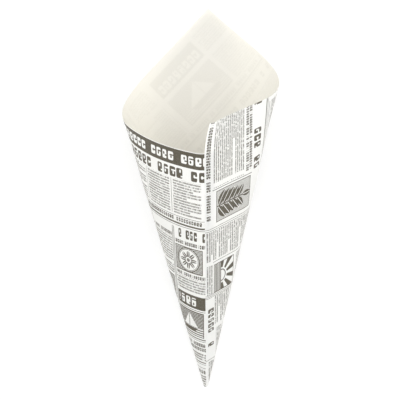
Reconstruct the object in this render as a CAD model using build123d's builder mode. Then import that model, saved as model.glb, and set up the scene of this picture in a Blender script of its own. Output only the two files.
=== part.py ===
"""Paper cone bag: one square-cornered sheet rolled into a cone and glued along a front seam.

The bag lies on its back panel, as it comes to rest, with its mouth towards +Y and its seam on top.
Every wall is straight along the lines that run from the tip of the cone, so the paper bends and
never stretches, and each point keeps its place in the flat sheet. Places round the bag are given
as turns: angles in the flat sheet, from the free edge at the seam, over the right side and the
back, to the left side and under the seam again.
"""

import math
import os
from bisect import bisect_right

from build123d import *

# Sheet, in millimetres and degrees
seam_edge = 186.0  # free edge that shows down the front, from the tip of the cone to the rim
hidden_edge = 167.0  # opposite edge, from the tip of the cone to the rim, where it meets the seam
sheet_corner = 90.0  # corner of the sheet that makes the tip, without the glued strip
lap_angle = 3.0  # glued strip beyond that corner, under the seam
paper_thickness = 0.25
glue_sink = 0.08  # how far the two glued layers are pressed into one
seam_ease = 4.0  # turn over which the outer layer comes down onto the section
blunt_end = 4.0  # from the point where the walls would meet to where the tip is open

# Section of the bag square to its length, this far from the tip of the cone
section_distance = 150.0
left_reach = 49.0  # from the middle to where the left panel would meet the back panel
right_reach = 65.0  # the same on the right
ridge_offset = -1.0  # where the seam ridge stands, seen along the bag
left_bulge = 15.0  # how far the left panel bows out
right_bulge = 1.0  # how far the right panel bows out
left_fold_radius = 30.0
right_fold_radius = 30.0
ridge_radius = 7.5

# Fineness of the model
measuring_steps = 720  # steps round the section when its turn is measured
closing_steps = 12  # corrections of the ridge's height until the bag closes
strips_per_bend = 5  # strips of the wall from where one fold or panel starts to the next
stations_per_strip = 4  # steps between the lines of the wall that shape a strip
blunt_overrun = 1.0  # how far the walls run past the blunt end before it is cut

cone_tip = Vector(0, 0, paper_thickness)
section_middle = cone_tip + Vector(0, section_distance, 0)
section_plane = Plane(section_middle, x_dir=(1, 0, 0), z_dir=(0, -1, 0))


def section_outline(ridge_height):
    """Rounded triangle that the paper's inner face follows: flat back, two soft folds and a ridge."""
    left, right, ridge = (-left_reach, 0), (right_reach, 0), (ridge_offset, ridge_height)
    with BuildSketch(section_plane) as section:
        with BuildLine():
            Line(left, right)
            SagittaArc(right, ridge, -right_bulge)
            SagittaArc(ridge, left, -left_bulge)
        make_face()
        fillet(section.vertices().sort_by(Axis.X)[0], left_fold_radius)
        fillet(section.vertices().sort_by(Axis.X)[-1], right_fold_radius)
        fillet(section.vertices().sort_by(Axis.Y)[-1], ridge_radius)
    return section.sketch.face().outer_wire()


class Roll:
    """The sheet rolled round one section, measured from the seam over the right side."""

    def __init__(self, ridge_height):
        self.outline = section_outline(ridge_height)
        ridge = self.outline.edges().sort_by(Axis.Z)[-1]
        self.seam = self.outline.param_at_point(ridge.position_at(0.5))
        rays = [self.ray(step / measuring_steps) for step in range(measuring_steps + 1)]
        self.turns = [0.0]
        for ray, following in zip(rays, rays[1:]):
            self.turns.append(self.turns[-1] + ray.get_angle(following))

    def ray(self, share):
        """Line of the wall from the tip of the cone to the outline, this share of the way round."""
        return self.outline.position_at((self.seam - share) % 1) - cone_tip

    def share_at(self, turn):
        """Share of the way round at which the sheet has turned this far."""
        rounds, rest = divmod(turn, self.turns[-1])
        step = bisect_right(self.turns, rest) - 1
        part = (rest - self.turns[step]) / (self.turns[step + 1] - self.turns[step])
        return rounds + (step + part) / measuring_steps

    def bend_turns(self):
        """Turns at which one panel or fold goes over into the next."""
        turns = []
        for corner in self.outline.vertices():
            share = (self.seam - self.outline.param_at_point(corner.center())) % 1
            step, part = divmod(share * measuring_steps, 1)
            before, after = self.turns[int(step)], self.turns[int(step) + 1]
            turns.append(before + part * (after - before))
        return sorted(turns)

    def wall_plane(self, turn):
        """Plane through one line of the wall: x runs up the cone and y out of the wall."""
        share = self.share_at(turn)
        ray = self.ray(share).normalized()
        along = self.outline.tangent_at((self.seam - share) % 1)
        across = along - ray * along.dot(ray)
        return Plane(cone_tip, x_dir=ray, z_dir=across * -1)


def closed_roll():
    """Roll that uses up the sheet's corner: its ridge rises until the walls turn through it."""
    ridge_height = section_distance / 2
    for _ in range(closing_steps):
        roll = Roll(ridge_height)
        missing = math.radians(sheet_corner - roll.turns[-1])
        ridge_height += missing * section_distance / 2
    return roll


def rim_distance(turn):
    """Distance from the tip of the cone to the sheet's far edges, each square to a long edge."""
    if turn < far_corner:
        return seam_edge / math.cos(math.radians(turn))
    return hidden_edge / math.cos(math.radians(turn - sheet_corner))


def seam_lift(turn):
    """How far the outer layer stands off the section, so that it lies on the inner one."""
    eased = min(max((turn - lap_angle) / seam_ease, 0), 1)
    return (paper_thickness - glue_sink) * (1 + math.cos(math.pi * eased)) / 2


def spread(first, last, steps):
    """Turns from the first to the last, evenly spread."""
    step = (last - first) / steps
    return [first + step * count for count in range(steps + 1)]


def back_point(turn, distance):
    """Point of the flat back panel, this far up one line of the wall."""
    ray = roll.ray(roll.share_at(turn)).normalized() * distance
    return (ray.X, ray.Y)


corner = math.radians(sheet_corner)
corner_rise = hidden_edge - seam_edge * math.cos(corner)
far_corner = math.degrees(math.atan2(corner_rise, seam_edge * math.sin(corner)))
lap_end = sheet_corner + lap_angle
wall_start = blunt_end - blunt_overrun
roll = closed_roll()
once_round = roll.bend_turns()
back_start, back_end = once_round[2:4]
bend_turns = once_round + [turn + sheet_corner for turn in once_round]
seam_turns = [0, lap_angle, lap_angle + seam_ease, far_corner, lap_end]
mark_turns = sorted(seam_turns + [turn for turn in bend_turns if turn < lap_end])
strip_turns = mark_turns[:1]
for first, last in zip(mark_turns, mark_turns[1:]):
    strip_turns += spread(first, last, strips_per_bend)[1:]

# The bag's one sheet
with BuildPart() as cone_bag:
    for first, last in zip(strip_turns, strip_turns[1:]):
        if back_start <= first < back_end:
            rim = [back_point(first, rim_distance(first)), back_point(last, rim_distance(last))]
            toe = [back_point(last, wall_start), back_point(first, wall_start)]
            with BuildSketch():
                with BuildLine():
                    Polyline(*rim, *toe, close=True)
                make_face()
            extrude(amount=paper_thickness)
        else:
            for turn in spread(first, last, stations_per_strip):
                inner, rim = seam_lift(turn), rim_distance(turn)
                outer = inner + paper_thickness
                strip = [(wall_start, inner), (rim, inner), (rim, outer), (wall_start, outer)]
                with BuildSketch(roll.wall_plane(turn)):
                    with BuildLine():
                        Polyline(*strip, close=True)
                    make_face()
            loft()
    split(bisect_by=Plane((0, blunt_end, 0), x_dir=(1, 0, 0), z_dir=(0, 1, 0)))

# The origin is the middle of the space the bag takes up, on the surface it lies on
middle = cone_bag.part.bounding_box().center()
cone_bag.part.move(Location((-middle.X, -middle.Y, 0)))
cone_bag.part.label = "cone_bag"

os.makedirs("parts", exist_ok=True)
export_step(cone_bag.part, "parts/cone_bag.step")
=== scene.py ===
import math

import bpy
import numpy as np
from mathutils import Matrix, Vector


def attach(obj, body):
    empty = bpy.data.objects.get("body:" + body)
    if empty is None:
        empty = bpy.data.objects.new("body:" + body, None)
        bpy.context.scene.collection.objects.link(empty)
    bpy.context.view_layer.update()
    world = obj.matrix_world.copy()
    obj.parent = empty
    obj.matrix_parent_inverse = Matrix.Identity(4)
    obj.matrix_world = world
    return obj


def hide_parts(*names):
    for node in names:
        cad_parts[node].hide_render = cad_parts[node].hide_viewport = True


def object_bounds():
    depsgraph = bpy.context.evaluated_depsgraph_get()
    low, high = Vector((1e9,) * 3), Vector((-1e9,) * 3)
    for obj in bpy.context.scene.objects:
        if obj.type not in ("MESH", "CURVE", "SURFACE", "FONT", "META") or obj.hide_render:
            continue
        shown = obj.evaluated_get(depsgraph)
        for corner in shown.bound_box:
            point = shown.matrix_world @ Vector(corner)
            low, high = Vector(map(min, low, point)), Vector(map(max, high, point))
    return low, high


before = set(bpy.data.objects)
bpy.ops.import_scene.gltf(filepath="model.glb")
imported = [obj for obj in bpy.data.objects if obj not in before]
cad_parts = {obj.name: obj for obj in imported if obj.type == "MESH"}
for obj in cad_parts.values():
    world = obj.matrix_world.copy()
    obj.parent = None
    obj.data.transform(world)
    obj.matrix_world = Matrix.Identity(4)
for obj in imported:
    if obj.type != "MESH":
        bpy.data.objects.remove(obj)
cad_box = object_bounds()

bl_info = {
    "name": "Paper cone bag",
    "version": (1, 0, 0),
    "blender": (4, 5, 0),
    "location": "3D View > Sidebar > Cone Bag",
    "description": "Rolls a newsprint sheet into a cone bag, prints it and lights it",
    "category": "Add Mesh",
}

MM = 0.001


class SheetSizes(bpy.types.PropertyGroup):
    """The flat sheet and how it closes into a cone."""

    seam_edge: bpy.props.FloatProperty(
        name="Seam edge", description="Free edge that shows down the front, tip to rim",
        default=186 * MM, subtype="DISTANCE", unit="LENGTH")
    hidden_edge: bpy.props.FloatProperty(
        name="Hidden edge", description="Edge under the seam, tip to rim",
        default=167 * MM, subtype="DISTANCE", unit="LENGTH")
    lap_angle: bpy.props.FloatProperty(
        name="Glued strip",
        description="Strip of the sheet under the seam, as an angle at the tip",
        default=math.radians(3), subtype="ANGLE", unit="ROTATION")
    seam_ease: bpy.props.FloatProperty(
        name="Seam ease",
        description="Angle over which the outer layer comes down beside the seam",
        default=math.radians(4), subtype="ANGLE", unit="ROTATION")
    blunt_end: bpy.props.FloatProperty(
        name="Blunt end", description="From where the walls would meet to where the tip is open",
        default=4 * MM, subtype="DISTANCE", unit="LENGTH")
    solid_wall: bpy.props.FloatProperty(
        name="Solid wall", description="Wall of the solid that this sheet stands for",
        default=0.25 * MM, subtype="DISTANCE", unit="LENGTH")
    tip_across: bpy.props.FloatProperty(
        name="Tip across", description="From the middle of the bag's box to the tip, along X",
        default=3.118 * MM, subtype="DISTANCE", unit="LENGTH")
    paper: bpy.props.FloatProperty(
        name="Paper", description="Thickness of the paper",
        default=0.12 * MM, subtype="DISTANCE", unit="LENGTH")
    glue_gap: bpy.props.FloatProperty(
        name="Glue gap", description="Space between the two layers at the seam",
        default=0.04 * MM, subtype="DISTANCE", unit="LENGTH")
    columns: bpy.props.IntProperty(
        name="Columns", description="Strips of the mesh round the bag", default=360)
    rows: bpy.props.IntProperty(
        name="Rows", description="Strips of the mesh from the tip to the rim", default=110)


class PaperForm(bpy.types.PropertyGroup):
    """How the paper gives, beyond the plain rolled form."""

    corner_slide: bpy.props.FloatProperty(
        name="Corner slide",
        description="How far the free corner at the seam leans over the right panel",
        default=3.6 * MM, subtype="DISTANCE", unit="LENGTH")
    corner_lift: bpy.props.FloatProperty(
        name="Corner lift", description="How far the free corner stands off the right panel",
        default=1.5 * MM, subtype="DISTANCE", unit="LENGTH")
    corner_reach: bpy.props.FloatProperty(
        name="Corner reach", description="Angle beside the seam over which its free corner leans",
        default=math.radians(6.5), subtype="ANGLE", unit="ROTATION")
    corner_start: bpy.props.FloatProperty(
        name="Corner start",
        description="Distance from the tip where the free corner starts to lean",
        default=160 * MM, subtype="DISTANCE", unit="LENGTH")
    tip_rise: bpy.props.FloatProperty(
        name="Tall point rise", description="How far the tall point stands off the table",
        default=1.5 * MM, subtype="DISTANCE", unit="LENGTH")
    tip_rise_start: bpy.props.FloatProperty(
        name="Rise start", description="Distance from the tip where the tall point starts to rise",
        default=180 * MM, subtype="DISTANCE", unit="LENGTH")
    flap_curl: bpy.props.FloatProperty(
        name="Flap curl", description="How far the tall flap curls up on each side of its middle",
        default=3.5 * MM, subtype="DISTANCE", unit="LENGTH")
    wave: bpy.props.FloatProperty(
        name="Waves", description="Height of the slack waves in the panels",
        default=0.35 * MM, subtype="DISTANCE", unit="LENGTH")


class PrintLook(bpy.types.PropertyGroup):
    """Colours of the paper and its ink."""

    outside: bpy.props.StringProperty(
        name="Outside", description="Bleached outer face, sRGB hex", default="F7F7F2")
    inside: bpy.props.StringProperty(
        name="Inside", description="Cream inner face, sRGB hex", default="EAE7DE")
    show_through: bpy.props.FloatProperty(
        name="Show-through", description="Share of the ink that shows inside", default=0.08,
        subtype="FACTOR", min=0, max=1)
    edge: bpy.props.StringProperty(
        name="Edge", description="Cut edge, sRGB hex", default="F1EFE8")
    ink: bpy.props.StringProperty(
        name="Ink", description="Warm grey-brown ink, sRGB hex", default="453C25")


class StageLook(bpy.types.PropertyGroup):
    """The camera, the light and the backdrop."""

    lens: bpy.props.FloatProperty(
        name="Lens", description="Focal length of the camera",
        default=117.15, subtype="DISTANCE_CAMERA")
    camera_from_tip: bpy.props.FloatVectorProperty(
        name="Camera", description="Place of the camera, from the tip of the cone",
        default=(-9.7 * MM, 63.6 * MM, 843.7 * MM), subtype="TRANSLATION", unit="LENGTH")
    camera_turn: bpy.props.FloatVectorProperty(
        name="Camera turn", description="Turn of the camera from looking straight down",
        default=(0.0717, -0.0071, -0.0042), subtype="EULER", unit="ROTATION")
    sky: bpy.props.FloatProperty(
        name="Sky", description="Strength of the even light from all round, where 1 is white",
        default=0.82, subtype="FACTOR", min=0, max=1)
    lamp: bpy.props.FloatProperty(
        name="Lamp", description="Power of the softbox over the mouth", default=11.5, unit="POWER")
    lamp_size: bpy.props.FloatProperty(
        name="Lamp size", description="Side of the softbox", default=2, subtype="DISTANCE",
        unit="LENGTH")
    lamp_place: bpy.props.FloatVectorProperty(
        name="Lamp place", description="Middle of the softbox, which faces the bag",
        default=(0.1, 0.35, 1.15), subtype="TRANSLATION", unit="LENGTH")
    floor: bpy.props.StringProperty(
        name="Floor", description="Matt backdrop as it lights the bag, sRGB hex", default="F4F4F2")
    floor_seen: bpy.props.StringProperty(
        name="Floor seen", description="Matt part of the backdrop as the camera sees it, sRGB hex",
        default="A6A6A5")
    floor_glow: bpy.props.FloatProperty(
        name="Floor glow", description="Glow that makes the seen backdrop white", default=0.64,
        min=0)
    floor_size: bpy.props.FloatProperty(
        name="Floor size", description="Side of the floor", default=6, subtype="DISTANCE",
        unit="LENGTH")


def linear(hex_colour):
    """Linear RGBA of an sRGB hex colour."""
    parts = [int(hex_colour[i:i + 2], 16) / 255 for i in (0, 2, 4)]
    line = [c / 12.92 if c <= 0.04045 else ((c + 0.055) / 1.055) ** 2.4 for c in parts]
    return line + [1.0]


def add(tree, kind, *values, output=0, **settings):
    """Adds a node, sets it, fills or links its inputs by order or name, and gives an output."""
    node = tree.nodes.new(kind if kind.startswith("NodeGroup") else "ShaderNode" + kind)
    for name, value in settings.items():
        setattr(node, name, value)
    named = values[0] if values and isinstance(values[0], dict) else dict(enumerate(values))
    for key, value in named.items():
        if isinstance(value, bpy.types.NodeSocket):
            tree.links.new(value, node.inputs[key])
        else:
            node.inputs[key].default_value = value
    return node.outputs[output] if len(node.outputs) else node


def smooth_step(values, start, stop):
    """0 before start, 1 after stop and a soft rise between them."""
    share = np.clip((values - start) / (stop - start), 0, 1)
    return share * share * (3 - 2 * share)


def tip_point(sheet):
    """Point where all lines of the bag's inner wall meet."""
    low = cad_box[0]
    return np.array([sheet.tip_across, low.y - sheet.blunt_end, low.z + sheet.solid_wall])


def wall_rays(sheet, node):
    """Directions from the tip along the solid's inner wall, in order round the bag."""
    tip = tip_point(sheet)
    mesh = node.data
    points = np.array([vertex.co for vertex in mesh.vertices]) - tip
    faces = list(mesh.polygons)
    normals = np.array([face.normal for face in faces])
    centres = np.array([face.center for face in faces]) - tip
    axis = points.mean(axis=0)
    axis /= np.linalg.norm(axis)
    inward = np.outer(centres @ axis, axis) - centres
    inward /= np.linalg.norm(inward, axis=1)[:, None]
    # The inner wall's faces lie in planes through the tip and face the middle of the bag
    through_tip = np.abs((normals * centres).sum(axis=1)) < 0.05 * sheet.solid_wall
    inner = through_tip & ((normals * inward).sum(axis=1) > 0.4)
    used = sorted({index for face, keep in zip(faces, inner) if keep for index in face.vertices})
    rays = points[used]
    rays = rays[np.linalg.norm(rays, axis=1) > 20 * MM]
    rays /= np.linalg.norm(rays, axis=1)[:, None]
    side = np.cross(axis, (1, 0, 0))
    side /= np.linalg.norm(side)
    around = np.arctan2(rays @ np.cross(axis, side), rays @ side)
    return rays[np.argsort(around)], np.sort(around)


def thinned(rays, around):
    """One ray for each small step round the bag."""
    step = math.radians(1)
    bins = np.floor(around / step).astype(int)
    kept = sorted(set(bins))
    means = np.array([rays[bins == number].mean(axis=0) for number in kept])
    return means, np.array([around[bins == number].mean() for number in kept])


def smooth_rays(rays, around, count):
    """Evenly spread rays on a smooth curve through the given ones, once round the bag."""
    full = 2 * math.pi
    places = np.concatenate([around - full, around, around + full])
    values = np.concatenate([rays, rays, rays])
    slopes = np.gradient(values, places, axis=0)
    wanted = np.linspace(-math.pi, math.pi, count, endpoint=False)
    index = np.searchsorted(places, wanted) - 1
    width = places[index + 1] - places[index]
    t = ((wanted - places[index]) / width)[:, None]
    width = width[:, None]
    curve = (
        (2 * t**3 - 3 * t**2 + 1) * values[index] + (t**3 - 2 * t**2 + t) * width * slopes[index]
        + (3 * t**2 - 2 * t**3) * values[index + 1] + (t**3 - t**2) * width * slopes[index + 1])
    return curve / np.linalg.norm(curve, axis=1)[:, None]


class Roll:
    """The sheet as it is rolled: a ray for each turn of the sheet, read off the solid."""

    def __init__(self, sheet, node):
        rays, around = thinned(*wall_rays(sheet, node))
        rays = smooth_rays(rays, around, count=7200)
        if np.cross(rays[0], rays[1]) @ rays.mean(axis=0) < 0:
            rays = rays[::-1]
        self.far_corner = math.atan2(sheet.hidden_edge, sheet.seam_edge)
        corner = max((v.co for v in node.data.vertices), key=lambda point: point.y)
        tall = np.array(corner) - tip_point(sheet)
        first = int(np.argmax(rays @ tall))
        rays = np.roll(rays, -first, axis=0)
        rays = np.concatenate([rays, rays, rays[:1]])
        steps = np.arccos(np.clip((rays[1:] * rays[:-1]).sum(axis=1), -1, 1))
        turns = np.concatenate([[0], np.cumsum(steps)])
        self.total = turns[-1] / 2
        self.turns = (turns - self.total) + self.far_corner
        self.rays = rays

    def ray(self, turn):
        """Unit vectors from the tip along the wall at these turns."""
        found = np.stack([np.interp(turn, self.turns, self.rays[:, k]) for k in range(3)], axis=-1)
        return found / np.linalg.norm(found, axis=-1)[..., None]

    def along(self, turn):
        """Unit vectors across the wall, towards greater turns."""
        step = math.radians(0.2)
        across = self.ray(turn + step) - self.ray(turn - step)
        ray = self.ray(turn)
        across -= ray * (across * ray).sum(axis=-1)[..., None]
        return across / np.linalg.norm(across, axis=-1)[..., None]


def clear_selection():
    """Nothing selected, so that an operator acts on the new piece alone."""
    bpy.ops.object.select_all(action="DESELECT")


def column_turns(sheet, roll):
    """Turns of the mesh's lines: evenly spread in the panels, closer where the paper bends."""
    last = math.pi / 2 + sheet.lap_angle
    fine = np.linspace(0, last, num=4000)
    across = roll.along(fine)
    bends = np.arccos(np.clip((across[1:] * across[:-1]).sum(axis=1), -1, 1))
    measure = fine / last + np.concatenate([[0], np.cumsum(bends)]) / bends.sum()
    turns = np.interp(np.linspace(0, measure[-1], sheet.columns + 1), measure, fine)
    turns[np.argmin(np.abs(turns - roll.far_corner))] = roll.far_corner
    return turns


def rolled_points(sheet, form, roll, turns, shares):
    """Places of the sheet's points, column by column from the tip to the rim.

    With them come their places on the flat page, in metres.
    """
    rim = np.where(turns < roll.far_corner, sheet.seam_edge / np.cos(turns),
                   sheet.hidden_edge / np.cos(turns - math.pi / 2))
    rays, across = roll.ray(turns), roll.along(turns)
    toe = sheet.blunt_end / rays[:, 1]
    distance = toe[:, None] + (rim - toe)[:, None] * shares[None, :]
    outward = np.cross(across, rays)

    lap = 1 - smooth_step(turns, sheet.lap_angle, sheet.lap_angle + sheet.seam_ease)
    lift = np.repeat((lap * (sheet.paper + sheet.glue_gap))[:, None], len(shares), axis=1)

    # Slack waves of uneven lengths, which fade out at the seam, at the tip and on the flat back
    clear = (0.12, 0.3)  # radians from the seam over which they set in
    off_seam = smooth_step(turns, *clear) * smooth_step(math.pi / 2 - turns, *clear)
    u = distance * np.cos(turns)[:, None]
    v = distance * np.sin(turns)[:, None]
    waves = np.sin(u / (21 * MM) + 0.7) * np.sin(v / (17 * MM)) + np.sin((u + v) / (13 * MM)) / 2
    waves *= smooth_step(distance, 50 * MM, 170 * MM)
    back = smooth_step(-outward[:, 2], 0.3, 0.9)
    lift += (form.wave * off_seam * (1 - back))[:, None] * waves
    points = rays[:, None, :] * distance[:, :, None] + outward[:, None, :] * lift[:, :, None]

    # The tall flap rises a little towards its point and curls up on each side of its middle
    tall_point = 250 * MM
    rise = (distance - form.tip_rise_start) / (tall_point - form.tip_rise_start)
    beside = np.clip(np.abs(turns - roll.far_corner) / math.radians(26), 0, 1)
    curl = np.sin(math.pi * beside)[:, None] ** 2 * smooth_step(distance, 150 * MM, 220 * MM)
    points[:, :, 2] += form.tip_rise * np.clip(rise, 0, None) ** 2 + form.flap_curl * curl

    # The free corner at the seam leans over the right panel, as one piece
    near_seam = (1 - np.clip(turns / form.corner_reach, 0, 1)) ** 1.5
    near_rim = (distance - form.corner_start) / (sheet.seam_edge - form.corner_start)
    panel = np.array([form.corner_reach])
    beyond, off = roll.along(panel)[0], np.cross(roll.along(panel)[0], roll.ray(panel)[0])
    lean = form.corner_slide * beyond + form.corner_lift * off
    points += (near_seam[:, None] * np.clip(near_rim, 0, 1) ** 2.2)[:, :, None] * lean
    page = np.stack([sheet.seam_edge - u, v], axis=-1)
    return points + tip_point(sheet), page


def read(collection, name, kind, wide=1):
    """One property of every item of a mesh's collection, as an array."""
    values = np.empty(len(collection) * wide, dtype=kind)
    collection.foreach_get(name, values)
    return values if wide == 1 else values.reshape(-1, wide)


def roll_sheet(sheet, form, node):
    """The bag: a flat grid for the sheet, rolled, with its places on the page as a map; its
    thickness and smoothing are added after.
    """
    roll = Roll(sheet, node)
    clear_selection()
    bpy.ops.mesh.primitive_grid_add(
        x_subdivisions=sheet.columns, y_subdivisions=sheet.rows, size=1, calc_uvs=True)
    bag = bpy.context.object
    bag.name = "paper_cone"
    mesh = bag.data
    flat = read(mesh.vertices, "co", float, 3) + 0.5
    column = np.rint(flat[:, 0] * sheet.columns).astype(int)
    row = np.rint(flat[:, 1] * sheet.rows).astype(int)
    turns = column_turns(sheet, roll)
    shares = np.linspace(0, 1, sheet.rows + 1)
    points, page = rolled_points(sheet, form, roll, turns, shares)
    mesh.vertices.foreach_set("co", points[column, row].ravel())
    corners = read(mesh.loops, "vertex_index", int)
    mesh.uv_layers[0].name = "page_mm"
    mesh.uv_layers[0].data.foreach_set("uv", (page[column, row][corners] / MM).ravel())
    mesh.update()
    return bag


# Map for baking: sides of the image in millimetres of the page, and where each part starts
PRINTED_SCALE, PRINTED_START = 240, (0.006, 0.006)
PLAIN_SCALE, PLAIN_START = 590, (0.01, 0.712)
STRIP_SCALE, STRIP_START = 600, (0.37, 0.74)
STRIP_PITCH, STRIP_WIDTH = 0.06, 0.03
PRINTED, PLAIN, CUT = range(3)  # order of the materials on the bag


def map_for_baking(bag, sheet, one_side):
    """Map without overlaps: the printed side large, the plain side and the cut edges beside it.

    The first one_side vertices are one face of the paper, and the others its other face.
    """
    mesh = bag.data
    corners = read(mesh.loops, "vertex_index", int)
    page = read(mesh.uv_layers["page_mm"].data, "uv", float, 2)
    side = read(mesh.polygons, "material_index", int)
    side = np.repeat(side, read(mesh.polygons, "loop_total", int))
    places = np.where(
        side[:, None] == PRINTED, page / PRINTED_SCALE + PRINTED_START,
        page / PLAIN_SCALE + PLAIN_START)

    # The cut edges have no width on the page, so each gets a strip of its own
    cut = page[side == CUT].reshape(-1, 4, 2)
    across, up = cut[..., 0], cut[..., 1]
    from_tip = sheet.seam_edge / MM - across
    angle = np.degrees(np.arctan2(up, from_tip))
    at_toe = np.hypot(up, from_tip).max(axis=1) < 2 * sheet.blunt_end / MM
    at_seam = up.max(axis=1) < 0.01
    at_rim = (across.max(axis=1) < 0.01) | (up.min(axis=1) > sheet.hidden_edge / MM - 0.01)
    strip = np.select([at_toe, at_seam, at_rim], [0, 1, 2], 3)[:, None]
    along = np.choose(strip, [3 * angle, across, across + up, up]) / STRIP_SCALE
    beside = STRIP_PITCH * strip + STRIP_WIDTH * (corners[side == CUT] >= one_side).reshape(-1, 4)
    places[side == CUT] = (np.stack([along, beside], axis=-1) + STRIP_START).reshape(-1, 2)
    mesh.uv_layers.new(name="OFBake").data.foreach_set("uv", places.ravel())


# The newsprint is laid out in millimetres on the flat page: X from the seam's rim corner towards
# the tip, Y from the seam edge up. It stands on eight equal columns. Its type is rounded blocks
# with a hole and a slit, at the sizes, weights and line heights of newspaper type. Places are
# given as left, bottom, right, top.
COLUMN_PITCH = 23
COLUMN_WIDTH = 20
MARGIN = 3
LAST_COLUMN = 7
WHOLE_PAGE = 1000  # a pitch that only one column has room for
LETTERS_APART = 51  # by which the random letters of each column are kept apart from the next
WORD_GAPS = 0.16  # share of the places for letters that are gaps between words
RULE_WEIGHT = 0.3

# Each kind of type: its places, the width of a letter, the height of a line, the share of the
# line that a letter fills, the share of lines that end early, and the distance from column to
# column.
TYPE_STYLES = {
    "news": ([
        (0, 123.4, 24, 147), (70, 123.4, 188, 147), (0, 149.8, 24, 164), (70, 149.8, 98, 164),
        (0, 62, 47, 104), (93, 62, 116, 104), (72, 0.6, 93, 53),
        (93, 0.6, 116, 5.8), (93, 28.5, 116, 56), (116, 8, 139, 22.5), (116, 30, 139, 62),
        (116, 84, 139, 105), (139, 9, 162, 21), (139, 26, 162, 58), (139, 79, 162, 105)],
        0.86, 1.78, 0.6, 0.12, COLUMN_PITCH),
    "last column": ([(164, 2, 188, 12.6), (164, 23.2, 188, 28.6), (164, 71.2, 188, 80.2)],
                    0.9, 1.78, 0.64, 0.06, WHOLE_PAGE),
    "story along the seam": ([(-4, 6.3, 43.5, 34.6)], 0.88, 1.78, 0.6, 0.06, 47),
    "notice headings": ([
        (164, 103.2, 188, 106.3), (164, 80.9, 188, 84), (141, 105.8, 161, 108.9),
        (118, 63.2, 138, 66.3), (164, 13.8, 188, 16.9)],
        1.5, 3.1, 0.8, 0, WHOLE_PAGE),
    "bold lines": ([(-2, 36.2, 42, 42.4), (164, 30, 188, 36.2)], 1.6, 3.1, 0.78, 0, WHOLE_PAGE),
    "page heading": ([(100, 147.8, 188, 154.8)], 5.2, 7, 0.94, 0, WHOLE_PAGE),
    "white on the band": ([(105, 158, 200, 164.6)], 4.9, 6.6, 0.86, 0, WHOLE_PAGE),
    "white on the blocks": ([(165, 61.6, 188, 68), (28, 151.2, 65, 157.6)],
                            4.6, 6.4, 0.92, 0, WHOLE_PAGE),
    "running line": ([(3, 118.5, 188, 121.5)], 1.9, 3, 0.84, 0, WHOLE_PAGE),
    "line along the seam": ([(-2, 0.8, 64, 4.2)], 1.75, 3.4, 0.8, 0, WHOLE_PAGE),
    "seam heading": ([(-2, 43.4, 43, 52)], 4.7, 8.6, 0.84, 0, WHOLE_PAGE),
    "back heading": ([(3, 106.5, 138, 113)], 3.2, 6.5, 0.72, 0, WHOLE_PAGE),
    "column heading": ([(164.2, 107.6, 188, 114.4)], 2.9, 6.8, 0.9, 0, WHOLE_PAGE),
    "heading near the tip": ([(122, 1.4, 158, 7.4)], 3.5, 6, 0.9, 0, WHOLE_PAGE),
}
DARK_BLOCKS = [(104, 156.2, 200, 166.6), (163.8, 60.2, 188, 69.4), (26, 149.8, 66, 163)]
RUNS_OF_COLUMNS = [(70, 123.6, 170, 146.8), (20, 61, 47, 104)]


def gutter_rule(before, bottom, top, offset=0.0, weight=RULE_WEIGHT):
    """Upright rule in the gutter before a column."""
    middle = before * COLUMN_PITCH + MARGIN / 2 + offset
    return middle - weight / 2, bottom, middle + weight / 2, top


def cross_rule(first, last, height, weight=RULE_WEIGHT):
    """Level rule over a run of columns, up to the seam where the last one is in it."""
    left, right = MARGIN + first * COLUMN_PITCH, MARGIN + last * COLUMN_PITCH + COLUMN_WIDTH
    right += MARGIN + 2 if last == LAST_COLUMN else 0
    return left, height - weight / 2, right, height + weight / 2


def frame_rules(place, weight):
    """Four rules round a place."""
    left, bottom, right, top = place
    return [
        (left, bottom, right, bottom + weight), (left, top - weight, right, top),
        (left, bottom, left + weight, top), (right - weight, bottom, right, top)]


RULES = [
    cross_rule(0, 7, 122.1), cross_rule(0, 7, 117.2, 1.1), cross_rule(0, 7, 115.6, 0.35),
    (-1, 56, 69, 56.9), (-1, 57.9, 69, 58.3), cross_rule(0, 4, 60, 0.5),
    cross_rule(7, 7, 38.8, 0.7), cross_rule(7, 7, 37.4), cross_rule(7, 7, 22.1, 0.7),
    cross_rule(7, 7, 20.7), cross_rule(7, 7, 18),
    cross_rule(5, 6, 24.2, 0.5), cross_rule(7, 7, 59, 0.4), (44.4, 5.6, 44.8, 42),
    gutter_rule(3, 0, 58, -0.7), gutter_rule(3, 0, 58, 0.7), gutter_rule(5, 0, 34, -1),
    gutter_rule(5, 0, 34), gutter_rule(5, 0, 34, 1), gutter_rule(7, 19, 114, -0.7, 0.45),
    gutter_rule(7, 19, 114, 0.5, 0.45), gutter_rule(7, 0, 17), gutter_rule(5, 36, 114),
    gutter_rule(6, 28, 114), gutter_rule(4, 6, 56)]


def filled(tree, page, places):
    """1 inside any of the places and 0 elsewhere."""
    inside = 0.0
    for left, bottom, right, top in places:
        middle, half = (left + right) / 2, (right - left) / 2
        across = add(tree, "Math", page[0], middle, half, operation="COMPARE")
        middle, half = (bottom + top) / 2, (top - bottom) / 2
        up = add(tree, "Math", page[1], middle, half, operation="COMPARE")
        inside = add(tree, "Math", across, up, inside, operation="MULTIPLY_ADD", use_clamp=True)
    return inside


def strongest(tree, *layers):
    """The strongest ink of several layers."""
    ink = layers[0]
    for layer in layers[1:]:
        ink = add(tree, "Math", ink, layer, operation="MAXIMUM")
    return ink


def chances(tree, *place):
    """Three random values for a place, the same ones each time."""
    where = add(tree, "CombineXYZ", *place)
    noise = add(tree, "TexWhiteNoise", where, output=1, noise_dimensions="3D")
    return add(tree, "SeparateColor", noise).node.outputs


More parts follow.
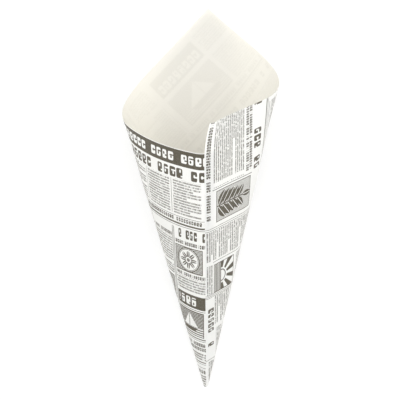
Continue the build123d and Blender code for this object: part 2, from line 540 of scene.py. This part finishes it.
def rounded(tree, places, middles, halves, power):
    """1 inside a box with rounded corners, given its middle and half its size each way.

    A power of 2 makes it an ellipse, and a higher one leaves squarer corners.
    """
    sums = []
    for place, middle, half in zip(places, middles, halves):
        off = add(tree, "Math", place, middle, operation="SUBTRACT")
        off = add(tree, "Math", off, half, operation="DIVIDE")
        sums.append(add(tree, "Math", off, power, operation="POWER"))
    off = add(tree, "Math", *sums, operation="ADD")
    return add(tree, "Math", off, 1, operation="LESS_THAN")


def style_here(tree, page):
    """A style's four numbers, its pitch, its own number, and its first column's left and foot."""
    numbers = [0.0] * 8
    for count, (places, *style, pitch) in enumerate(TYPE_STYLES.values(), start=1):
        there = filled(tree, page, places)
        left = MARGIN if pitch == COLUMN_PITCH else places[0][0]
        given = (*style, pitch, count, left, places[0][1])
        numbers = [
            add(tree, "Math", there, value, number, operation="MULTIPLY_ADD")
            for value, number in zip(given, numbers)]
    return numbers


def block_openings(tree, across, up, choice, letter, height):
    """1 in the hole and in the slit that open each block, at random places in it."""
    level = add(tree, "Math", choice[1], 0.5, operation="SUBTRACT")
    level = add(tree, "Math", level, height, operation="MULTIPLY")
    middle = add(tree, "Math", choice[0], 0.24, 0.38, operation="MULTIPLY_ADD")
    narrow = add(tree, "MapRange", {
        "Value": letter, "From Min": 1, "From Max": 3, "To Min": 0.06, "To Max": 0.12})
    level_up = add(tree, "Math", level, 0.5, 0.5, operation="MULTIPLY_ADD")
    tall = add(tree, "Math", height, 0.17, operation="MULTIPLY")
    hole = rounded(tree, (across, up), (middle, level_up), (narrow, tall), power=2)
    middle = add(tree, "Math", choice[1], 0.5, 0.2, operation="MULTIPLY_ADD")
    slit = add(tree, "Math", across, middle, operation="GREATER_THAN")
    middle = add(tree, "Math", level, -0.6, 0.5, operation="MULTIPLY_ADD")
    half = add(tree, "Math", height, narrow, operation="MULTIPLY")
    half = add(tree, "Math", half, 0.66, operation="MULTIPLY")
    slit_up = add(tree, "Math", up, middle, half, operation="COMPARE")
    slit = add(tree, "Math", slit, slit_up, operation="MULTIPLY")
    return strongest(tree, hole, slit)


def set_type(tree, page):
    """Lines of type-like blocks in every style, set in columns and parted into words."""
    letter, line, height, short, pitch, seed, left, foot = style_here(tree, page)

    # Column and line, and the place in them
    in_page = add(tree, "Math", page[0], left, operation="SUBTRACT")
    in_pitch = add(tree, "Math", in_page, pitch, operation="DIVIDE")
    number = add(tree, "Math", in_pitch, operation="FLOOR")
    in_column = add(tree, "Math", in_pitch, operation="FRACT")
    in_column = add(tree, "Math", in_column, pitch, operation="MULTIPLY")
    measure = add(tree, "Math", pitch, COLUMN_PITCH - COLUMN_WIDTH, operation="SUBTRACT")
    lines = add(tree, "Math", page[1], foot, operation="SUBTRACT")
    lines = add(tree, "Math", lines, line, operation="DIVIDE")
    row = add(tree, "Math", lines, operation="FLOOR")
    up = add(tree, "Math", lines, operation="FRACT")

    # Lines that end early, and where their letters start
    line_chance = chances(tree, number, row, seed)
    early = add(tree, "Math", line_chance[0], short, operation="LESS_THAN")
    cut = add(tree, "Math", line_chance[1], 0.6, 0.1, operation="MULTIPLY_ADD")
    cut = add(tree, "Math", early, cut, operation="MULTIPLY")
    cut = add(tree, "Math", cut, measure, operation="MULTIPLY")
    end = add(tree, "Math", measure, cut, operation="SUBTRACT")
    inside = add(tree, "Math", in_column, end, operation="LESS_THAN")
    along = add(tree, "Math", in_column, letter, operation="DIVIDE")
    along = add(tree, "Math", line_chance[2], 0.7, along, operation="MULTIPLY_ADD")
    cell = add(tree, "Math", along, operation="FLOOR")
    across = add(tree, "Math", along, operation="FRACT")

    # One block for each letter, and between words none, or a thin one in small type
    cell = add(tree, "Math", number, LETTERS_APART, cell, operation="MULTIPLY_ADD")
    choice = chances(tree, cell, row, seed)
    word = add(tree, "Math", choice[2], WORD_GAPS, operation="GREATER_THAN")
    thin = add(tree, "MapRange", {
        "Value": letter, "From Min": 1, "From Max": 2, "To Min": 0.45, "To Max": 0.001})
    half = add(tree, "Math", choice[0], 0.12, 0.32, operation="MULTIPLY_ADD")
    half = add(tree, "Math", half, strongest(tree, word, thin), operation="MULTIPLY")
    tall = add(tree, "Math", height, 0.5, operation="MULTIPLY")
    block = rounded(tree, (across, up), (0.5, 0.5), (half, tall), power=6)
    block = add(tree, "Math", block, inside, operation="MULTIPLY")
    bare = block_openings(tree, across, up, choice, letter, height)
    return add(tree, "Math", block, bare, operation="SUBTRACT", use_clamp=True)


def column_rules(tree, page):
    """Thin upright rules in all the gutters of two runs of columns."""
    gutter = add(tree, "Math", page[0], MARGIN / 2 - COLUMN_PITCH / 2, operation="SUBTRACT")
    gutter = add(tree, "Math", gutter, COLUMN_PITCH, operation="DIVIDE")
    gutter = add(tree, "Math", gutter, operation="FRACT")
    half = RULE_WEIGHT / 2 / COLUMN_PITCH
    gutter = add(tree, "Math", gutter, 0.5, half, operation="COMPARE")
    return add(tree, "Math", gutter, filled(tree, page, RUNS_OF_COLUMNS), operation="MULTIPLY")


def polar(tree, page, centre):
    """Distance from a centre and the angle round it."""
    across = add(tree, "Math", page[0], centre[0], operation="SUBTRACT")
    up = add(tree, "Math", page[1], centre[1], operation="SUBTRACT")
    square = add(tree, "Math", across, across, operation="MULTIPLY")
    square = add(tree, "Math", up, up, square, operation="MULTIPLY_ADD")
    reach = add(tree, "Math", square, operation="SQRT")
    return reach, add(tree, "Math", up, across, operation="ARCTAN2")


def rosette(tree, page, place, petals):
    """Framed panel: petals round a pierced middle, in a double ring before an engraved ground."""
    left, bottom, right, top = place
    radius = (top - bottom) * 0.48
    reach, angle = polar(tree, page, ((left + right) / 2, (bottom + top) / 2))
    swing = add(tree, "Math", angle, petals / 2, operation="MULTIPLY")
    swing = add(tree, "Math", swing, operation="COSINE")
    swing = add(tree, "Math", swing, operation="ABSOLUTE")
    edge = add(tree, "Math", swing, radius * 0.52, radius * 0.24, operation="MULTIPLY_ADD")
    petal = add(tree, "Math", reach, edge, operation="LESS_THAN")
    vein = add(tree, "Math", swing, 0.975, operation="GREATER_THAN")
    middle = add(tree, "Math", reach, radius * 0.2, radius * 0.05, operation="COMPARE")
    bare = strongest(tree, vein, middle)
    flower = add(tree, "Math", petal, bare, operation="SUBTRACT", use_clamp=True)
    inner = add(tree, "Math", reach, radius * 0.86, radius * 0.02, operation="COMPARE")
    outer = add(tree, "Math", reach, radius * 0.96, radius * 0.04, operation="COMPARE")
    ground = add(tree, "Math", reach, radius, operation="GREATER_THAN")
    ground = add(tree, "Math", ground, engraved(tree, page, 0.9, 0.6), operation="MULTIPLY")
    return framed(tree, page, place, strongest(tree, flower, inner, outer, ground))


def framed(tree, page, place, picture):
    """A picture inside its place, with a rule round it."""
    inside = add(tree, "Math", picture, filled(tree, page, [place]), operation="MULTIPLY")
    return strongest(tree, inside, filled(tree, page, frame_rules(place, weight=0.45)))


def engraved(tree, page, pitch, share):
    """Engraver's level lines, this share of their pitch wide."""
    level = add(tree, "Math", page[1], pitch, operation="DIVIDE")
    level = add(tree, "Math", level, operation="FRACT")
    return add(tree, "Math", level, share, operation="LESS_THAN")


def sunrise(tree, page, place, rays):
    """Framed panel: half a disc over an engraved ground, with rays above it."""
    left, bottom, right, top = place
    wide, ground = right - left, bottom + (top - bottom) * 0.36
    reach, angle = polar(tree, page, ((left + right) / 2, ground))
    beams = add(tree, "Math", angle, rays, operation="MULTIPLY")
    beams = add(tree, "Math", beams, operation="SINE")
    beams = add(tree, "Math", beams, 0, operation="GREATER_THAN")
    far = add(tree, "Math", reach, wide * 0.27, operation="GREATER_THAN")
    beams = add(tree, "Math", beams, far, operation="MULTIPLY")
    disc = add(tree, "Math", reach, wide * 0.2, 0.35, operation="COMPARE")
    above = add(tree, "Math", page[1], ground, operation="GREATER_THAN")
    sky = add(tree, "Math", strongest(tree, beams, disc), above, operation="MULTIPLY")
    soil = engraved(tree, page, 1.3, 0.62)
    soil = add(tree, "Math", soil, above, operation="SUBTRACT", use_clamp=True)
    return framed(tree, page, place, strongest(tree, sky, soil))


def sailing_boat(tree, page, place):
    """Framed panel: white sails and a dark hull before an engraved sky and a lighter sea."""
    left, bottom, right, top = place
    wide, tall = right - left, top - bottom
    across = add(tree, "Math", page[0], left + wide * 0.46, operation="SUBTRACT")
    up = add(tree, "Math", page[1], bottom + tall * 0.34, operation="SUBTRACT")
    half = add(tree, "Math", up, -0.62 * wide / tall, wide * 0.35, operation="MULTIPLY_ADD")
    sail = add(tree, "Math", across, half, operation="LESS_THAN")
    half = add(tree, "Math", half, -0.7, operation="MULTIPLY")
    jib = add(tree, "Math", across, half, operation="GREATER_THAN")
    sails = add(tree, "Math", sail, jib, operation="MULTIPLY")
    mast = add(tree, "Math", across, 0, 0.3, operation="COMPARE")
    sails = add(tree, "Math", sails, mast, operation="SUBTRACT", use_clamp=True)
    above = add(tree, "Math", up, tall * 0.02, operation="GREATER_THAN")
    sky = engraved(tree, page, 1, 0.74)
    sky = add(tree, "Math", sky, sails, operation="SUBTRACT", use_clamp=True)
    sky = add(tree, "Math", sky, above, operation="MULTIPLY")
    sea = engraved(tree, page, 1.6, 0.5)
    sea = add(tree, "Math", sea, above, operation="SUBTRACT", use_clamp=True)
    hull = add(tree, "Math", up, -tall * 0.07, tall * 0.06, operation="COMPARE")
    length = add(tree, "Math", up, wide * 0.34, operation="ADD")
    beam = add(tree, "Math", across, operation="ABSOLUTE")
    beam = add(tree, "Math", beam, length, operation="LESS_THAN")
    hull = add(tree, "Math", hull, beam, operation="MULTIPLY")
    return framed(tree, page, place, strongest(tree, sky, sea, hull))


def leaf(tree, across, up, foot, length, lean):
    """Pointed leaf with a bare vein: its ink, and its shape without the vein."""
    cosine, sine = math.cos(lean), math.sin(lean)
    centre = (sine * length / 2, foot + cosine * length / 2)
    shift = centre[1] * sine - centre[0] * cosine
    width = add(tree, "Math", up, -sine, shift, operation="MULTIPLY_ADD")
    width = add(tree, "Math", across, cosine, width, operation="MULTIPLY_ADD")
    width = add(tree, "Math", width, operation="ABSOLUTE")
    shift = -centre[1] * cosine - centre[0] * sine
    along = add(tree, "Math", up, cosine, shift, operation="MULTIPLY_ADD")
    along = add(tree, "Math", across, sine, along, operation="MULTIPLY_ADD")
    taper = add(tree, "Math", along, along, operation="MULTIPLY")
    half = add(tree, "Math", taper, -0.9 / length, length * 0.225, operation="MULTIPLY_ADD")
    shape = add(tree, "Math", width, half, operation="LESS_THAN")
    blade = add(tree, "Math", width, 0.22, operation="GREATER_THAN")
    return add(tree, "Math", shape, blade, operation="MULTIPLY"), shape


def sprig(tree, page, place, pairs):
    """Framed panel: a stem with pairs of leaves before an engraved sky."""
    left, bottom, right, top = place
    across = add(tree, "Math", page[0], (left + right) / 2, operation="SUBTRACT")
    across = add(tree, "Math", across, operation="ABSOLUTE")
    rise = (top - bottom - 4) / (pairs + 1.2)
    inked, shapes = [], []
    for number in range(pairs + 1):
        length = (right - left) * (0.56 - 0.16 * number / pairs)
        lean = 0 if number == pairs else math.radians(52)
        ink, shape = leaf(tree, across, page[1], bottom + 1.5 + rise * number, length, lean)
        inked.append(ink)
        shapes.append(shape)
    stem = add(tree, "Math", across, 0.35, operation="LESS_THAN")
    low = add(tree, "Math", page[1], top - 7, operation="LESS_THAN")
    stem = add(tree, "Math", stem, low, operation="MULTIPLY")
    sky = engraved(tree, page, 0.95, 0.42)
    sky = add(tree, "Math", sky, strongest(tree, *shapes), operation="SUBTRACT", use_clamp=True)
    return framed(tree, page, place, strongest(tree, sky, stem, *inked))


def newsprint_group():
    """Node group: how much ink lies at each place of the page, from 0 to 1."""
    tree = bpy.data.node_groups.new("newsprint", "ShaderNodeTree")
    for name in ("X", "Y"):
        tree.interface.new_socket(name, in_out="INPUT", socket_type="NodeSocketFloat")
    tree.interface.new_socket("Ink", in_out="OUTPUT", socket_type="NodeSocketFloat")
    page = add(tree, "NodeGroupInput").node.outputs[:2]
    blocks = filled(tree, page, DARK_BLOCKS)
    # Type prints dark on the paper and stays white in the dark blocks
    printed = add(tree, "Math", blocks, set_type(tree, page), operation="SUBTRACT")
    printed = add(tree, "Math", printed, operation="ABSOLUTE")
    ink = strongest(
        tree, printed, filled(tree, page, RULES), column_rules(tree, page),
        rosette(tree, page, (164, 85, 184.6, 102.4), 8),
        sunrise(tree, page, (95.5, 7, 115.5, 26), 11), sprig(tree, page, (46, 9, 67, 41), 5),
        sailing_boat(tree, page, (164, 40.2, 185, 58)),
        rosette(tree, page, (141.4, 60, 160.6, 77.4), 6),
        sunrise(tree, page, (49, 63, 92, 103), 13),
        sailing_boat(tree, page, (26, 124.4, 66, 146.4)))
    add(tree, "NodeGroupOutput", ink)
    return tree


SHOW_THROUGH_SPREAD = 1.2  # millimetres by which the paper's fibres spread the print behind
NOISE_REACH = 3  # by which the noise is multiplied to stray about that far


def page_ink(tree, spread=0.0):
    """Ink at the surface's own place on the page, with the patchiness of a fast press.

    Behind the paper it is seen through the fibres, which spread it by this many millimetres.
    """
    page = add(tree, "UVMap", uv_map="page_mm")
    place = add(tree, "SeparateXYZ", page).node.outputs[:2]
    if spread:
        fibres = add(tree, "TexNoise", {"Vector": page, "Scale": 6, "Detail": 1}, output=1)
        strays = add(tree, "SeparateColor", fibres).node.outputs
        place = [add(tree, "Math", stray, NOISE_REACH * spread, axis, operation="MULTIPLY_ADD")
                 for stray, axis in zip(strays, place)]
    ink = add(tree, "Group", *place, node_tree=bpy.data.node_groups["newsprint"])
    patches = add(tree, "TexNoise", {"Vector": page, "Scale": 0.9, "Detail": 3})
    patches = add(tree, "MapRange", {"Value": patches, "To Min": 0.86})
    return add(tree, "Math", ink, patches, operation="MULTIPLY")


def paper_tooth(tree):
    """Bump of uncoated paper: fibres about 0.4 mm long, drawn a little coarser to show."""
    page = add(tree, "UVMap", uv_map="page_mm")
    tooth = add(tree, "TexNoise", {"Vector": page, "Scale": 1.6, "Detail": 4})
    return add(tree, "Bump", {"Strength": 0.5, "Distance": 0.02 * MM, "Height": tooth})


def new_material(name):
    """Material with no nodes yet."""
    material = bpy.data.materials.new(name)
    material.use_nodes = True
    material.node_tree.nodes.clear()
    return material


def printed_side(look):
    """Outer side: bleached greaseproof paper, dull, with warm grey-brown ink soaked into it."""
    material = new_material("greaseproof_paper_printed")
    tree = material.node_tree
    colour = add(
        tree, "Mix", {"Factor": page_ink(tree), 6: linear(look.outside), 7: linear(look.ink)},
        output=2, data_type="RGBA")
    shader = add(tree, "BsdfPrincipled", {
        "Base Color": colour, "Roughness": 0.55, "IOR": 1.47, "Specular IOR Level": 0.35,
        "Subsurface Weight": 0.75, "Subsurface Radius": (1, 1, 1), "Subsurface Scale": 0.3 * MM,
        "Normal": paper_tooth(tree)})
    add(tree, "OutputMaterial", shader)
    return material


def plain_side(look):
    """Inner side: the same sheet unprinted, cream, with the print behind showing through."""
    material = new_material("greaseproof_paper_inside")
    tree = material.node_tree
    behind = page_ink(tree, SHOW_THROUGH_SPREAD)
    faint = add(tree, "Math", behind, look.show_through, operation="MULTIPLY")
    colour = add(
        tree, "Mix", {"Factor": faint, 6: linear(look.inside), 7: linear(look.ink)},
        output=2, data_type="RGBA")
    shader = add(tree, "BsdfPrincipled", {
        "Base Color": colour, "Roughness": 0.6, "IOR": 1.47, "Specular IOR Level": 0.3,
        "Subsurface Weight": 0.75, "Subsurface Radius": (1, 1, 1), "Subsurface Scale": 0.3 * MM,
        "Normal": paper_tooth(tree)})
    add(tree, "OutputMaterial", shader)
    return material


def cut_side(look):
    """Cut edge: bare paper fibres, without ink or sheen."""
    material = new_material("paper_cut_edge")
    tree = material.node_tree
    shader = add(tree, "BsdfPrincipled", {
        "Base Color": linear(look.edge), "Roughness": 0.85, "IOR": 1.47,
        "Specular IOR Level": 0.2})
    add(tree, "OutputMaterial", shader)
    return material


def seen_rays(tree):
    """1 for the rays in which the backdrop is seen and 0 for those that light the bag."""
    rays = add(tree, "LightPath").node.outputs
    kinds = ("Is Camera Ray", "Is Glossy Ray", "Is Transmission Ray")
    return strongest(tree, *(rays[kind] for kind in kinds))


def backdrop(look):
    """Pale matt backdrop that the camera sees as plain white, with the bag's soft shadow on it.

    What the camera sees is part glow, so that the floor is white, and part matt grey, which the
    shadow darkens.
    """
    material = new_material("matt_backdrop")
    tree = material.node_tree
    matt = add(tree, "BsdfDiffuse", {"Color": linear(look.floor)})
    shaded = add(tree, "BsdfDiffuse", {"Color": linear(look.floor_seen)})
    white = add(tree, "Emission", {"Color": linear("FFFFFF"), "Strength": look.floor_glow})
    white = add(tree, "AddShader", shaded, white)
    add(tree, "OutputMaterial", add(tree, "MixShader", seen_rays(tree), matt, white))
    return material


def studio_world(look):
    """Even light from all round, which is itself seen as plain white."""
    world = bpy.data.worlds.new("studio")
    world.use_nodes = True
    tree = world.node_tree
    tree.nodes.clear()
    light = add(tree, "Background", {"Color": linear("FFFFFF"), "Strength": look.sky})
    white = add(tree, "Background", {"Color": linear("FFFFFF"), "Strength": 1})
    add(tree, "OutputWorld", add(tree, "MixShader", seen_rays(tree), light, white))
    return world


def softbox(look):
    """Large soft lamp over the mouth, turned to the bag."""
    lamp = bpy.data.lights.new("softbox", "AREA")
    lamp.size = look.lamp_size
    lamp.energy = look.lamp
    box = bpy.data.objects.new("softbox", lamp)
    box.location = look.lamp_place
    box.rotation_euler = box.location.to_track_quat("Z", "Y").to_euler()
    return box


class CONEBAG_OT_paper(bpy.types.Operator):
    """Roll the printed sheet into the cone bag"""

    bl_idname = "conebag.paper"
    bl_label = "Roll paper cone"

    def execute(self, context):
        scene = context.scene
        bag = roll_sheet(scene.cone_sheet, scene.cone_form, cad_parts["cone_bag"])
        newsprint_group()
        for side in (printed_side, plain_side, cut_side):
            bag.data.materials.append(side(scene.cone_print))
        one_side = len(bag.data.vertices)
        solidify = bag.modifiers.new("paper", "SOLIDIFY")
        solidify.thickness = scene.cone_sheet.paper
        solidify.offset = 1
        solidify.material_offset = PLAIN
        solidify.material_offset_rim = CUT
        bpy.ops.object.modifier_apply(modifier=solidify.name)
        map_for_baking(bag, scene.cone_sheet, one_side)
        bpy.ops.object.shade_smooth_by_angle(angle=math.radians(40))
        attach(bag, "root")
        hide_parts("cone_bag")
        return {"FINISHED"}


class CONEBAG_OT_stage(bpy.types.Operator):
    """Add the floor, the camera and the light"""

    bl_idname = "conebag.stage"
    bl_label = "Set the stage"

    def execute(self, context):
        scene = context.scene
        look = scene.cone_stage
        clear_selection()
        bpy.ops.mesh.primitive_plane_add(size=look.floor_size)
        floor = context.object
        floor.name = "floor"
        tip = Vector(tip_point(scene.cone_sheet))
        bpy.ops.object.camera_add(
            location=tip + Vector(look.camera_from_tip), rotation=look.camera_turn)
        scene.camera = context.object
        scene.camera.data.lens = look.lens
        scene.world = studio_world(look)
        scene.collection.objects.link(softbox(look))
        floor.data.materials.append(backdrop(look))
        scene.view_settings.view_transform = "Standard"
        return {"FINISHED"}


class CONEBAG_PT_panel(bpy.types.Panel):
    """Sizes and steps of the cone bag"""

    bl_idname = "CONEBAG_PT_panel"
    bl_label = "Cone Bag"
    bl_space_type = "VIEW_3D"
    bl_region_type = "UI"
    bl_category = "Cone Bag"

    def draw(self, context):
        for step in (CONEBAG_OT_paper, CONEBAG_OT_stage):
            self.layout.operator(step.bl_idname)


GROUPS = {"cone_sheet": SheetSizes, "cone_form": PaperForm, "cone_print": PrintLook,
          "cone_stage": StageLook}
CLASSES = (*GROUPS.values(), CONEBAG_OT_paper, CONEBAG_OT_stage, CONEBAG_PT_panel)


def register():
    for part in CLASSES:
        bpy.utils.register_class(part)
    for name, group in GROUPS.items():
        setattr(bpy.types.Scene, name, bpy.props.PointerProperty(type=group))


def unregister():
    for name in GROUPS:
        delattr(bpy.types.Scene, name)
    for part in reversed(CLASSES):
        bpy.utils.unregister_class(part)


def main():
    register()
    bpy.ops.conebag.paper()
    bpy.ops.conebag.stage()


if __name__ == "__main__":
    main()
